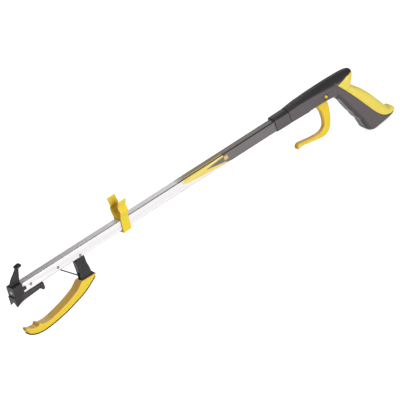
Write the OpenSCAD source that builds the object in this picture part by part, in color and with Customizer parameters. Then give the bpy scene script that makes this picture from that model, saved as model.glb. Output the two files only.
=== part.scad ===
// Reacher grabber: rectangular shaft, fixed upper pad, hinged lower jaw pulled
// by a cord from a trigger in a pistol grip. Millimetres.
// Frame: origin at the centre of the tip magnet's face, +X along the shaft
// towards the grip, +Z up (jaw and grip hang towards -Z), left is -Y.
// Side-view points are [x, z]; end-view points are [y, z].

/* [Shaft] */
// Width of the rectangular tube, side to side
shaft_w = 12.7; // [12.5:0.1:12.9]
// Height of the rectangular tube
shaft_h = 15.9; // [15.7:0.1:16.1]
// Wall thickness of the tube
shaft_wall = 1.2; // [1.0:0.1:1.2]
// Outside corner radius of the tube
shaft_r = 1.8; // [1.5:0.1:2.2]

/* [Tip] */
// Radius of the tip magnet
magnet_r = 2.8; // [2.2:0.1:4]
// Thickness of the tip magnet
magnet_t = 2; // [1.2:0.1:2.2]
// Thickness of the hook horn, side to side
horn_t = 3.4; // [2.5:0.1:5]
// Number of teeth on the fixed pad
pad_teeth = 12; // [8:1:16]

/* [Jaw] */
// Half width of the jaw arm
jaw_half_w = 8.3; // [8.2:0.1:8.8]
// Half width of the jaw core where it enters the tube
core_half_w = 4.8; // [4:0.1:4.9]
// Half width of the spine along the back of the arm
spine_half_w = 1.6; // [1.2:0.1:2]
// Thickness of the band over the arm's convex back
spine_proud = 1; // [0.8:0.1:1.5]
// Half width of the band over the arm's back
band_half_w = 8.2; // [6:0.1:8.3]
// Radius of the pivot pin
pivot_r = 1.5; // [1.3:0.1:1.7]

/* [Cord] */
// Radius of the pull cord
cord_r = 0.85; // [0.6:0.05:0.9]

/* [Handle] */
// Half width of the grip
grip_half_w = 13; // [12.5:0.1:14]
// Rounding of the grip's long edges
grip_round = 6; // [4:0.5:6.5]
// Radius of the trigger pivot pin
trigger_pin_r = 2.2; // [2:0.1:3]
// Half width of the trigger
trigger_half_w = 4.3; // [3.5:0.1:4.7]

/* [Stick clip] */
// Radius of the walking-stick seat
seat_r = 10; // [9:0.5:10.5]
// Length of the clip along the shaft
clip_len = 14; // [12:0.5:18]
// Wall of the clip
clip_wall = 2.2; // [1.8:0.1:2.6]

/* [Hidden] */
$fn = 64;
clearance = 0.05; // between mating parts
pin_gap = 0.02;   // between a pin and its hole
overcut = 0.01;
through = 10;     // half length of a bore right through the shaft

tube_x0 = 2.5;
tube_x1 = 520;
bore_w = shaft_w - 2 * shaft_wall;
bore_h = shaft_h - 2 * shaft_wall;
bore_corner_r = 0.6;

// pin centres
cap_rivet_spot = [31, -0.6];
front_pin = [79.5, -2.0];
pivot = [118.6, -5.0];
shaft_pin_spot = [509, -4];
rear_pin = [533.5, 8.6];
trigger_pivot = [560.2, -0.5];

small_pin_r = 1.55; // cap rivet and shaft pin
cord_pin_r = 1.5;
pad_stud_x = 30;
pad_stud_r = 2;

yellow = [1.0, 0.87, 0.20];
pale = [0.98, 0.90, 0.36];
black = [0.16, 0.15, 0.17];
grey = [0.36, 0.33, 0.36];
metal = [0.86, 0.86, 0.87];
magnet_grey = [0.75, 0.75, 0.78];
spring_grey = [0.7, 0.7, 0.72];
label_grey = [0.27, 0.27, 0.29];

// ---------- curves ----------
function catmull_rom(before, from, to, after, t) = 0.5 * (2 * from + (to - before) * t
    + (2 * before - 5 * from + 4 * to - after) * t * t
    + (3 * from - before - 3 * to + after) * t * t * t);
// smooth curve through all the points, with `steps` pieces per span
function smooth(points, steps = 3) = let(last = len(points) - 1) [
    for (i = [0:last - 1]) for (k = [0:steps - 1])
        catmull_rom(points[max(i - 1, 0)], points[i], points[i + 1],
            points[min(i + 2, last)], k / steps),
    points[last]];
// unit normal, to the left of the direction of travel
function normal(points, i) =
    let(along = points[min(i + 1, len(points) - 1)] - points[max(i - 1, 0)])
    [-along[1], along[0]] / norm(along);
function shift(points, dist) =
    [for (i = [0:len(points) - 1]) points[i] + dist * normal(points, i)];
function reversed(points) = [for (i = [len(points) - 1:-1:0]) points[i]];
function part_of(points, first, last) = [for (i = [first:last]) points[i]];
function unit(vec) = vec / norm(vec);

// ---------- shared shapes ----------
module rounded_rect(width, height, radius) {
    square([width - 2 * radius, height], center = true);
    square([width, height - 2 * radius], center = true);
    for (x = [-1, 1], y = [-1, 1])
        translate([x * (width / 2 - radius), y * (height / 2 - radius)])
            circle(r = radius);
}
// end-view outline extruded along the shaft
module along_x(x, length)
    translate([x, 0, 0]) rotate([90, 0, 90]) linear_extrude(height = length) children();
// side-view outline extruded across the shaft
module plate(half_w)
    rotate([90, 0, 0]) linear_extrude(height = 2 * half_w, center = true) children();
module plate_between(y0, y1)
    translate([0, y1, 0]) rotate([90, 0, 0]) linear_extrude(height = y1 - y0) children();
// box centred on y = 0, from its lowest x and z
module box(x, z, size) translate([x, -size[1] / 2, z]) cube(size);
// cylinders across the shaft
module pin_between(spot, radius, y0, y1)
    translate([spot[0], y1, spot[1]]) rotate([90, 0, 0]) cylinder(r = radius, h = y1 - y0);
module pin(spot, radius, half_len) pin_between(spot, radius, -half_len, half_len);
module pin_pair(spot, radius, near, far) {
    pin_between(spot, radius, near, far);
    pin_between(spot, radius, -far, -near);
}
// pin through the tube with a tapered head on each side
module headed_pin(spot, radius, head_r = 2.3) {
    pin(spot, radius, shaft_w / 2 + 0.15);
    for (side = [-1, 1])
        translate([spot[0], side * (shaft_w / 2 + 0.02), spot[1]])
            rotate([-90 * side, 0, 0]) cylinder(r1 = head_r, r2 = 1.8, h = 0.6);
}
// round rod between two side-view points, at y = 0
module rod(start, end, radius) {
    run = end - start;
    translate([start[0], 0, start[1]]) rotate([0, atan2(run[0], run[1]), 0])
        cylinder(r = radius, h = norm(run), $fn = 32);
}
module shaft_section(grow = 0)
    rounded_rect(shaft_w + 2 * grow, shaft_h + 2 * grow, shaft_r + grow);
// hole the shaft fits into, with the shaft's own corner radius
module socket_section(gap = clearance)
    rounded_rect(shaft_w + 2 * gap, shaft_h + 2 * gap, shaft_r);
module plug_section()
    rounded_rect(bore_w - 2 * clearance, bore_h - 2 * clearance, bore_corner_r);

// ---------- shaft ----------
slot_z = -12; // openings in the tube's lower wall start below it
slot_h = 6.5;

module shaft_tube() color(metal) difference() {
    along_x(tube_x0, tube_x1 - tube_x0) difference() {
        shaft_section();
        rounded_rect(bore_w, bore_h, bore_corner_r);
    }
    // cord slot, jaw slot and pad stud hole
    box(74, slot_z, [18, 4.4, slot_h]);
    box(104.5, slot_z, [27, 10.04, slot_h]);
    translate([pad_stud_x, 0, slot_z]) cylinder(r = pad_stud_r + clearance, h = slot_h);
    pin(cap_rivet_spot, small_pin_r + clearance, through);
    pin(front_pin, cord_pin_r, through);
    pin(pivot, pivot_r, through);
    pin(shaft_pin_spot, small_pin_r + clearance, through);
}

// sleeve around the shaft, open along the underside
module shaft_label() color(label_grey) difference() {
    along_x(300, 172.8) difference() {
        shaft_section(0.2);
        shaft_section(0.02);
    }
    box(290, -12, [190, 12, 6]);
}

// ---------- tip ----------
claw_side = [[-1.5, -7], [-1.5, -20], [-0.6, -20.2], [3.5, -18.6], [11, -16.2],
    [13.5, -9], [13.5, -7]];
claw_end = [[-8, -6], [-8, -20.2], [-6.6, -20.2], [-0.8, -12.3], [0.8, -12.3],
    [6.6, -20.2], [8, -20.2], [8, -6]];
horn_front = smooth([[1.3, 8.5], [2.6, 13], [6.2, 18], [11.5, 23], [17, 28.2], [18.9, 30.8]]);
horn_rear = smooth([[23.6, 30.8], [21.6, 24], [19.4, 16], [17.6, 8.5]]);
tab_y = [6.42, 8.1];
tab_t = tab_y[1] - tab_y[0];

module end_cap() color(black) difference() {
    union() {
        along_x(0, 16.5) rounded_rect(17.2, 19.4, 3);
        // plug inside the tube
        along_x(2, 34) plug_section();
        // claw with two spikes
        intersection() {
            plate(8) polygon(claw_side);
            along_x(-2, 18) polygon(claw_end);
        }
        // tabs on both sides
        for (y = [tab_y[0], -tab_y[1]])
            translate([10, y, -3]) cube([11.6, tab_t, 5]);
        // horn with its cross head
        plate(horn_t / 2) polygon(concat(horn_front, horn_rear));
        translate([22.4, 0, 31]) rotate([0, 8, 0])
            linear_extrude(height = 3, center = true) rounded_rect(10, 9.4, 2.4);
    }
    // tube seat
    along_x(tube_x0, 40) difference() {
        socket_section();
        plug_section();
    }
    // magnet pocket
    translate([-overcut, 0, 0]) rotate([0, 90, 0])
        cylinder(r = magnet_r + clearance, h = magnet_t + clearance + overcut);
    pin(cap_rivet_spot, small_pin_r + clearance, through);
    // room for the fixed pad
    box(11.2, -19, [40, 18, 10.98]);
}

// disc with a bevelled rim on its exposed face
module tip_magnet() color(magnet_grey) rotate([0, 90, 0]) difference() {
    cylinder(r = magnet_r, h = magnet_t);
    translate([0, 0, -1]) rotate_extrude() translate([magnet_r, 0])
        polygon([[-0.4, 0.9], [0.1, 0.9], [0.1, 1.4]]);
}

module cap_rivet() color(metal) headed_pin(cap_rivet_spot, small_pin_r, 2.4);

pad_top = -8.05;
teeth_x = 12;
tooth_pitch = 32.6 / pad_teeth;
tooth_rise = 0.2; // each tooth sits this much above the one before
pad_heel = [[43.6, pad_top], [43.6, -15.2], [46, -18.3], [49, -18.3], [49.7, -17.6],
    [49.7, pad_top]];

module fixed_jaw_pad() color(black) {
    plate(7) polygon(concat(
        [[11.3, pad_top], [11.3, -15.8]],
        [for (i = [0:pad_teeth - 1]) each [
            [teeth_x + i * tooth_pitch, -17.6 + i * tooth_rise],
            [teeth_x + (i + 0.75) * tooth_pitch, -15.7 + i * tooth_rise]]],
        [[44.6, -13.4], [44.6, pad_top]]));
    plate(8) polygon(pad_heel);
    translate([pad_stud_x, 0, -9]) cylinder(r = pad_stud_r, h = 2.1);
}

// ---------- jaw ----------
// convex back and concave inside of the arm, both from the pivot end to the tip
outer_line = smooth([[134, -42], [123.5, -48.9], [113.1, -55.0], [101.4, -59.8],
    [87.9, -63.9], [73.8, -67.9], [57.3, -71.2], [41, -73.3], [26.2, -74.2],
    [16.2, -72.9], [7.1, -68.2], [1.6, -59]]);
inner_line = smooth([[107.4, -40.8], [102.2, -44.7], [94.9, -49.8], [79.1, -55.9],
    [64.4, -60.1], [51, -63.2], [43.5, -64.6], [33.5, -64.7], [28, -63.9]], 2);
tip_line = [[26.8, -62], [24.2, -60.7], [22.2, -61.4], [20.8, -63.5], [16, -63.4],
    [11.4, -62.2], [7, -60.2], [4.4, -57.6]];
// one side of the arm seen from above, tip to pivot end: [x, y]
plan_side = [[0.5, 3.4], [5, 5.4], [16, 7.3], [30, jaw_half_w], [140, jaw_half_w]];
core_below_pivot = [[125.6, -10], [126, -20], [128, -29], [128.8, -36], [132.4, -40.4],
    [132.6, -41.8], [130.8, -43], [124, -47.5], [113, -49.5], [109.6, -44], [110.4, -35]];
core_hollow = [[109.4, -40], [109.5, -44], [112.9, -49.6], [124.1, -47.7], [140, -38],
    [109, -38]];
spine_end = 30; // index on outer_line where spine and band stop
ferrule_spot = [115.8, -37.6];
ferrule_r = 1.45;
spring_y = [1.5, 6]; // recess for the return spring
recess_r = 4.7;
coil_wire_r = 0.45;

// closed strip between two offsets of the arm's back, positive outwards
function back_strip(outside, inside, inside_end = spine_end) = concat(
    part_of(shift(outer_line, outside), 1, spine_end),
    reversed(part_of(shift(outer_line, inside), 1, inside_end)));
function coil_y(i) = 2.3 + i * 0.85;

module spine_strip(grow = 0)
    polygon(back_strip(0.5 + grow, -3 - grow, spine_end + (grow > 0 ? 1 : 0)));

module jaw_plan() translate([0, 0, -80]) linear_extrude(height = 60)
    polygon(concat(plan_side, reversed([for (spot = plan_side) [spot[0], -spot[1]]])));

module jaw_core() color(black) difference() {
    union() {
        plate(core_half_w) polygon(concat(
            [[109.6, -12], [112.8, -8.2]],
            [for (a = [150:-20:10]) pivot + 4.1 * [cos(a), sin(a)]],
            core_below_pivot));
        plate(spine_half_w) spine_strip();
        // band over the arm's convex back
        intersection() {
            plate(band_half_w) polygon(back_strip(spine_proud, 0.03));
            jaw_plan();
        }
    }
    pin(pivot, pivot_r + clearance, through);
    // pocket for the cord end
    box(105, -40, [13.4, 3.2, 10.5]);
    // recess for the return spring and its leg
    pin_between(pivot, recess_r, spring_y[0], spring_y[1]);
    plate_between(spring_y[0], spring_y[1]) polygon([pivot + [-recess_r, 0],
        pivot + [recess_r, 0], [123.2, -13], [115.8, -13]]);
    pin(ferrule_spot, ferrule_r + clearance, 3.6);
}

module jaw_arm() color(yellow) difference() {
    intersection() {
        plate(jaw_half_w)
            polygon(concat(outer_line, reversed(tip_line), reversed(inner_line)));
        jaw_plan();
    }
    plate(core_half_w + clearance) polygon(core_hollow);
    plate(spine_half_w + clearance) spine_strip(clearance);
}

module jaw_pivot_pin() color(metal) headed_pin(pivot, pivot_r - pin_gap);

// three closed rings and two straight legs
module jaw_spring() color(spring_grey) {
    for (i = [0:2])
        translate([pivot[0], coil_y(i), pivot[1]]) rotate([90, 0, 0])
            rotate_extrude() translate([2.6, 0]) circle(r = coil_wire_r, $fn = 24);
    translate([0, coil_y(2), 0]) rod([116.2, -4.2], [108.5, 5.9], coil_wire_r);
    translate([0, coil_y(0), 0]) rod([120.9, -6.4], [119.6, -9.3], coil_wire_r);
}

// ---------- cord ----------
wrap_r = cord_pin_r + cord_r + 0.1; // cord centre line around a pin
cord_z = front_pin[1] + wrap_r;
cord_seat = [110, -34.3];
// the jaw cord is tangent to the front pin, on its lower front side
seat_run = cord_seat - front_pin;
seat_dist = norm(seat_run);
cord_angle = atan2(seat_run[1], seat_run[0]) + asin(wrap_r / seat_dist);
cord_top = cord_seat
    - sqrt(seat_dist * seat_dist - wrap_r * wrap_r) * [cos(cord_angle), sin(cord_angle)];
// the rear bend rises to the rear pin and wraps over it in three steps
bend_start = [521.2, cord_z];
bend_run = rear_pin - bend_start;
bend_angle = atan2(bend_run[1], bend_run[0]) + asin(wrap_r / norm(bend_run));
bend_step = 24;
// the two middle corners lie slightly outside the wrap radius
function bend_corner(k) = let(a = 90 + bend_angle - k * bend_step)
    rear_pin + wrap_r * [cos(a), sin(a)] / cos(k > 0 && k < 3 ? bend_step / 2 : 0);
cord_anchor = [539.5, 7.0];
anchor_r = 1.1;

module front_cord_pin() color(metal) headed_pin(front_pin, cord_pin_r - pin_gap);
module jaw_cord() color(black) rod(cord_top, cord_seat, cord_r);
module jaw_cord_ferrule() color(metal) pin(ferrule_spot, ferrule_r, 3.4);
module pull_cord() color(black) rod([front_pin[0] + 1.5, cord_z], [508, cord_z], cord_r);

module rear_cord_bend() {
    path = [bend_start, for (k = [0:3]) bend_corner(k)];
    color(black) for (i = [0:len(path) - 2]) {
        rod(path[i], path[i + 1], cord_r - 0.05);
        if (i > 0)
            translate([path[i][0], 0, path[i][1]]) sphere(r = cord_r, $fn = 24);
    }
}

module rear_cord_pin() color(metal) pin(rear_pin, cord_pin_r, 8.4);
module trigger_cord() color(black)
    rod(cord_anchor + [-0.6, 3.4], cord_anchor + [0, 1.6], cord_r - 0.1);
module trigger_cord_ferrule() color(metal) pin(cord_anchor, anchor_r, 3.2);

// ---------- trigger ----------
trigger_rear = smooth([[565.2, -3], [564.9, -10], [564.1, -24], [560.6, -40],
    [553.2, -52.4], [541.9, -56.4], [526, -54.4], [511, -52], [503, -51.4]]);
trigger_front = smooth([[498.2, -52.5], [496.9, -50.2], [498.6, -46.8], [503.2, -45],
    [512, -46.5], [527, -48.4], [540, -48], [547.0, -43.4], [549.6, -34.6],
    [549.6, -22.6], [546.6, -11.6], [546, -6]]);
cord_lever = [[559, 6.2], [553, 5.6], [545, 7.6], [540, 8.9], [538, 8.2], [537.7, 6.2],
    [538.8, 5.1], [546, 2], [553, -3.6], [560, -3]];

module trigger() color(yellow) difference() {
    union() {
        plate(trigger_half_w) polygon(concat(trigger_rear, trigger_front, [[553.5, -1]]));
        pin(trigger_pivot, 6.2, trigger_half_w);
        plate(2.4) polygon(cord_lever);
    }
    pin(trigger_pivot, trigger_pin_r, through);
    pin(cord_anchor, anchor_r + clearance, through);
    // slot for the cord
    box(cord_anchor[0] - 3, cord_anchor[1] + 1.2, [6, 1.8, 4]);
}
module trigger_pin() color(yellow) pin(trigger_pivot, trigger_pin_r - pin_gap, 12.5);

// ---------- handle ----------
// barrel stations: [x, half width, top z, bottom z, top corner radius]
barrel_stations = [
    [498, 9.6, 12.3, -8.9, 3.5], [518, 10.6, 14.2, -8.9, 5], [543, 11.9, 16, -9, 6.5],
    [574, 12.7, 16.7, -10.4, 8], [591, 12.7, 16.2, -10.4, 8], [606, 12, 14.6, -3, 6.5],
    [615, 10.2, 12.6, 5.8, 3]];
bottom_corner_r = 4; // at most
// matching points down the front and the back of the grip
grip_front = [[580, -2], [576.4, -13.8], [586.2, -30.2], [592, -43.4], [599.2, -59],
    [604.8, -74.4]];
grip_back = [[604.5, 5.8], [605.4, -4.4], [616.2, -19], [628.5, -35.2], [639.6, -53.2],
    [648, -67.6]];
foot_line = concat([grip_front[5]], [[606, -79.6], [611.2, -84.4], [619, -86.8],
    [630.5, -86.9], [642.4, -85.4], [653.8, -82.2], [658.6, -78.2], [659.4, -75],
    [658, -71.8], [655.6, -70.6], [652.2, -70.2]], [grip_back[5]]);
foot_centre = [633, -77.5];
// steps of the rounded edge: [outline inset, side inset], as shares of grip_round
round_steps = [[0, 1], [0.134, 0.5], [0.5, 0.134], [1, 0]];
inlay_outline = [[582, 5.2], [599, 8.8], [612, 9.6], [675, 9.6], [675, -75.5],
    [653.5, -75.8], [640.9, -75.4], [635, -73.4], [629.1, -68.6], [623.3, -59.9],
    [616.7, -46.4], [605.7, -28.6], [594.4, -11.5], [584.2, 1.6]];
core_back = [[611.4, 10.6], [608.8, 6], [603.4, -4.8], [613.8, -20.1], [626, -36.2],
    [637.1, -54.2], [644.4, -67], [647.6, -72.4], [653.6, -73.4], [655.4, -78]];
grip_cavity = [[584, -4], [598, -4], [608, -20], [619.5, -37], [630.5, -56], [638, -69],
    [645.5, -76.5], [646, -82], [620, -83], [611.6, -79], [609, -73], [603, -58],
    [596, -42], [591, -29]];
// screws: [x, z, reference y for the ends, post radius]
screws = [[527, -4.2, 9.6, 2.9], [589, 8.6, 11, 3.4], [609, -34, 11, 3.4],
    [627, -80, 11, 3.4]];
socket_x0 = 490;

module barrel_solid() hull()
    for (station = barrel_stations, y = [-1, 1], top = [false, true]) {
        corner = top ? station[4] : min(station[4], bottom_corner_r);
        translate([station[0], y * (station[1] - station[4]),
            top ? station[2] - corner : station[3] + corner])
            rotate([0, 90, 0]) cylinder(r = corner, h = 0.02, $fn = 32);
    }
// grip between stations i and i + 1
module grip_segment(i) {
    across = unit(grip_back[i] - grip_front[i]);
    across_next = unit(grip_back[i + 1] - grip_front[i + 1]);
    hull() for (step = round_steps) {
        inset = grip_round * step[0];
        plate(grip_half_w - grip_round * step[1]) polygon([
            grip_front[i] + across * inset, grip_back[i] - across * inset,
            grip_back[i + 1] - across_next * inset,
            grip_front[i + 1] + across_next * inset]);
    }
}
module foot_solid() hull() for (step = round_steps)
    plate(grip_half_w - grip_round * step[1]) polygon([for (spot = foot_line)
        spot + grip_round * step[0] * unit(foot_centre - spot)]);
module handle_solid() {
    barrel_solid();
    for (i = [0:len(grip_front) - 2]) grip_segment(i);
    foot_solid();
}
// part of the handle that the inlay wraps around
module inlay_core(grow = 0) plate(10.6 + grow) polygon(concat(
    [[560, 10.6]], [for (spot = core_back) spot + [grow, 0]], [[560, -78]]));
module cavity() {
    box(tube_x1, -6.9, [26, 16.6, 19.1]);
    box(545, -6.9, [52, 18.8, 20]);
    plate(9.4) polygon(grip_cavity);
}
// both shells in one piece
module shell_body() difference() {
    union() {
        difference() {
            handle_solid();
            cavity();
            difference() {
                plate(20) polygon(inlay_outline);
                inlay_core();
            }
            // trigger slot
            box(540.5, -14, [35.5, 10, 9]);
        }
        // screw posts, then trigger and cord pin bosses
        for (screw = screws) pin(screw, screw[3], screw[2] - 1.2);
        intersection() {
            union() {
                pin_pair(trigger_pivot, 5.4, 4.9, 11);
                pin_pair(rear_pin, 3, 5, 9.5);
            }
            box(500, -8, [80, 24, 22]);
        }
    }
    pin(trigger_pivot, trigger_pin_r + 2 * pin_gap, 20);
    pin(rear_pin, cord_pin_r + pin_gap, 8.5);
    pin(shaft_pin_spot, small_pin_r + clearance, 8.8);
    // tube socket
    along_x(socket_x0, tube_x1 + 0.2 - socket_x0) socket_section();
}
// block that takes one side of the handle away
module half_cut(y0) translate([480, y0, -120]) cube([220, 40, 160]);

module handle_shell_left() color(grey) difference() {
    shell_body();
    half_cut(-overcut);
    for (screw = screws) pin_between(screw, 1.5, -screw[2] + 2.4, 20);
}
module handle_shell_right() color(grey) difference() {
    shell_body();
    half_cut(overcut - 40);
    for (screw = screws) {
        pin_between(screw, 1.6, -20, 30);
        pin_between(screw, 3.0, screw[2] - 3.4, 30);
    }
}
module nose_collar() color(grey) difference() {
    union() {
        translate([0, 0, 1.55]) along_x(476, 21.9) rounded_rect(19, 20.9, 3.4);
        translate([0, 0, 1.3]) along_x(473.1, 3.2) rounded_rect(18.2, 20.2, 3.2);
    }
    along_x(460, 50) socket_section();
}
module grip_inlay() color(pale) difference() {
    intersection() {
        handle_solid();
        plate(19) polygon(inlay_outline);
    }
    inlay_core(0.06);
}
// shanks, with cross-slotted heads on the right
module handle_screws() color(metal) for (screw = screws) {
    pin_between(screw, 1.45, -screw[2] + 3.4, screw[2] - 3.2);
    difference() {
        pin_between(screw, 2.8, screw[2] - 3.35, screw[2] - 1.7);
        translate([screw[0], screw[2] - 1.1, screw[1]]) {
            cube([3.4, 2.6, 0.7], center = true);
            cube([0.7, 2.6, 3.4], center = true);
        }
    }
}
module shaft_pin() color(metal) pin(shaft_pin_spot, small_pin_r, 8.6);

// ---------- stick clip ----------
clip_x = 194.5;
seat_z = 19.7;
clip_gap = 0.15;
clip_half_w = shaft_w / 2 + clip_gap + clip_wall;
clip_half_h = shaft_h / 2 + clip_gap + clip_wall;
clip_prong = [[6.6, 24.4], [9.9, 24.4], [9.6, 27.2], [13.6, 36.3], [13.2, 37.2],
    [11.8, 37.2]];
clip_mouth = [[-7.2, 26.6], [0, seat_z], [7.2, 26.6], [11.9, 37.6], [11.9, 60],
    [-11.9, 60], [-11.9, 37.6]];

module seat_cylinder(x, radius, length)
    translate([x, 0, seat_z]) rotate([0, 90, 0]) cylinder(r = radius, h = length);

module stick_clip() color(yellow) difference() {
    union() {
        along_x(clip_x, clip_len) {
            rounded_rect(2 * clip_half_w, 2 * clip_half_h, 2.6);
            translate([0, -1]) rounded_rect(2 * clip_half_w, 2 * clip_half_h + 2, 4);
            translate([-clip_half_w, 0])
                square([2 * clip_half_w, shaft_h / 2 + clip_gap + 5]);
        }
        seat_cylinder(clip_x, seat_r + 2, clip_len);
        for (m = [0, 1]) mirror([0, m, 0]) along_x(clip_x, clip_len) polygon(clip_prong);
    }
    along_x(clip_x - 1, clip_len + 2) socket_section(clip_gap);
    seat_cylinder(clip_x - 1, seat_r, clip_len + 2);
    along_x(clip_x - 1, clip_len + 2) polygon(clip_mouth);
}

shaft_tube();
shaft_label();
end_cap();
tip_magnet();
cap_rivet();
fixed_jaw_pad();
jaw_core();
jaw_arm();
jaw_pivot_pin();
jaw_spring();
front_cord_pin();
jaw_cord();
jaw_cord_ferrule();
pull_cord();
rear_cord_bend();
rear_cord_pin();
trigger_cord();
trigger_cord_ferrule();
trigger();
trigger_pin();
handle_shell_left();
handle_shell_right();
nose_collar();
grip_inlay();
handle_screws();
shaft_pin();
stick_clip();
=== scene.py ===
"""A long reaching grabber: a shaft with a pull-cord jaw at one end and a trigger grip at the other.

x runs from the jaw tip (near 0) back to the handle, y across the tool (+y is the right
shell) and z up. Shapes are drawn in millimetres and scaled to metres as their meshes are
made. Materials, lights and camera are in metres.

Most pieces are signed distance fields, negative inside, sampled on a grid and skinned.
"""
import math
from functools import reduce

import bmesh
import bpy
import numpy as np
from mathutils import Matrix, Vector

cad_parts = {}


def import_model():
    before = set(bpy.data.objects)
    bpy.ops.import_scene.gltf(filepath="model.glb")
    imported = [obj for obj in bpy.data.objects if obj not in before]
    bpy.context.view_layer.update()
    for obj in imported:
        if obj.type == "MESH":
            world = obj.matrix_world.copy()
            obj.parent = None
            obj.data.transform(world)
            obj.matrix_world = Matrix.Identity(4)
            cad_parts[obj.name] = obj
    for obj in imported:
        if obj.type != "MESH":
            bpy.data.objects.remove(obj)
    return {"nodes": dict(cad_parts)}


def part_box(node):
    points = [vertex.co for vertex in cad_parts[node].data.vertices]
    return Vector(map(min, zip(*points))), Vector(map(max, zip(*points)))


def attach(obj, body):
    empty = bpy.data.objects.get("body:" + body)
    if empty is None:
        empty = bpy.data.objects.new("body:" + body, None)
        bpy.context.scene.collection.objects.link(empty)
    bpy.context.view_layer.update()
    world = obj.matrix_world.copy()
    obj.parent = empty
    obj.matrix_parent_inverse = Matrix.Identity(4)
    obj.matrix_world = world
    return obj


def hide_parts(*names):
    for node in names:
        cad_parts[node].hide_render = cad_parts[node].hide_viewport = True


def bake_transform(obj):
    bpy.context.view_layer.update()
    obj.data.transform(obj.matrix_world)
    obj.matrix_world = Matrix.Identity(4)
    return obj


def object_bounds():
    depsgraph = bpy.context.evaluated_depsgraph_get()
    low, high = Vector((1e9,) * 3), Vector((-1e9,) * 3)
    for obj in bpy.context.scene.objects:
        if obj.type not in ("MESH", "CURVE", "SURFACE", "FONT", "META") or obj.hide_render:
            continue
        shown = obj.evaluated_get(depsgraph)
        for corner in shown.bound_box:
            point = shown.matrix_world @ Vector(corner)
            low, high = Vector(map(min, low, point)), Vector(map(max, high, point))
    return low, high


MM = 0.001
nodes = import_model()["nodes"]


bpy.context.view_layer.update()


def box_mm(node):
    """Low and high corners of a CAD node's box, in mm."""
    low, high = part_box(node)
    return np.array(low) * 1000, np.array(high) * 1000


def centre_xz(node):
    low, high = box_mm(node)
    return (low[[0, 2]] + high[[0, 2]]) / 2


def link(obj):
    bpy.context.scene.collection.objects.link(obj)
    return obj


# ------------------------------------------------------------ shader graph helpers
class Graph:
    """Short calls for adding nodes to the tree of a material or world."""

    def __init__(self, owner):
        self.nodes = owner.node_tree.nodes
        self.links = owner.node_tree.links

    def node(self, kind, **settings):
        node = self.nodes.new("ShaderNode" + kind)
        for name, value in settings.items():
            setattr(node, name, value)
        return node

    def find(self, kind):
        return next(node for node in self.nodes if node.type == kind)

    def feed(self, socket, value):
        """Link a socket to value, or set it where value is a plain number or vector."""
        if isinstance(value, bpy.types.NodeSocket):
            self.links.new(value, socket)
        else:
            socket.default_value = value

    def math(self, operation, a, b=0.0, clamp=False):
        node = self.node("Math", operation=operation, use_clamp=clamp)
        self.feed(node.inputs[0], a)
        self.feed(node.inputs[1], b)
        return node.outputs[0]

    def plus(self, a, b):
        return self.math("ADD", a, b)

    def minus(self, a, b):
        return self.math("SUBTRACT", a, b)

    def largest(self, a, b):
        return self.math("MAXIMUM", a, b)

    def magnitude(self, a):
        return self.math("ABSOLUTE", a)

    def times(self, *factors):
        return reduce(lambda a, b: self.math("MULTIPLY", a, b), factors)

    def inverse(self, mask):
        return self.minus(1.0, mask)

    def line(self, value, offset, slope):
        return self.plus(offset, self.times(value, slope))

    def soft(self, value, width=0.0004):
        """A mask that climbs from 0 to 1 as value goes from 0 to width."""
        return self.math("DIVIDE", value, width, clamp=True)

    def band(self, value, centre, half, width=0.0004):
        """A mask of the points nearer to centre than half."""
        return self.soft(self.minus(half, self.magnitude(self.minus(value, centre))), width)

    def ramp(self, value, start, end, low, high):
        """Map start..end to low..high."""
        node = self.node("MapRange")
        for socket, number in zip(node.inputs, (value, start, end, low, high)):
            self.feed(socket, number)
        return node.outputs[0]

    def mix(self, factor, a, b, mode="MIX"):
        node = self.node("Mix", data_type="RGBA", blend_type=mode)
        self.feed(node.inputs[0], factor)
        for socket, colour in ((node.inputs[6], a), (node.inputs[7], b)):
            is_socket = isinstance(colour, bpy.types.NodeSocket)
            self.feed(socket, colour if is_socket else (*colour, 1))
        return node.outputs[2]

    def dot(self, a, b):
        node = self.node("VectorMath", operation="DOT_PRODUCT")
        self.feed(node.inputs[0], a)
        self.feed(node.inputs[1], b)
        return node.outputs["Value"]

    def split(self, vector):
        node = self.node("SeparateXYZ")
        self.feed(node.inputs[0], vector)
        return node.outputs

    def bevel(self, radius):
        node = self.node("Bevel", samples=4)
        self.feed(node.inputs["Radius"], radius)
        return node.outputs[0]


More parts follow.
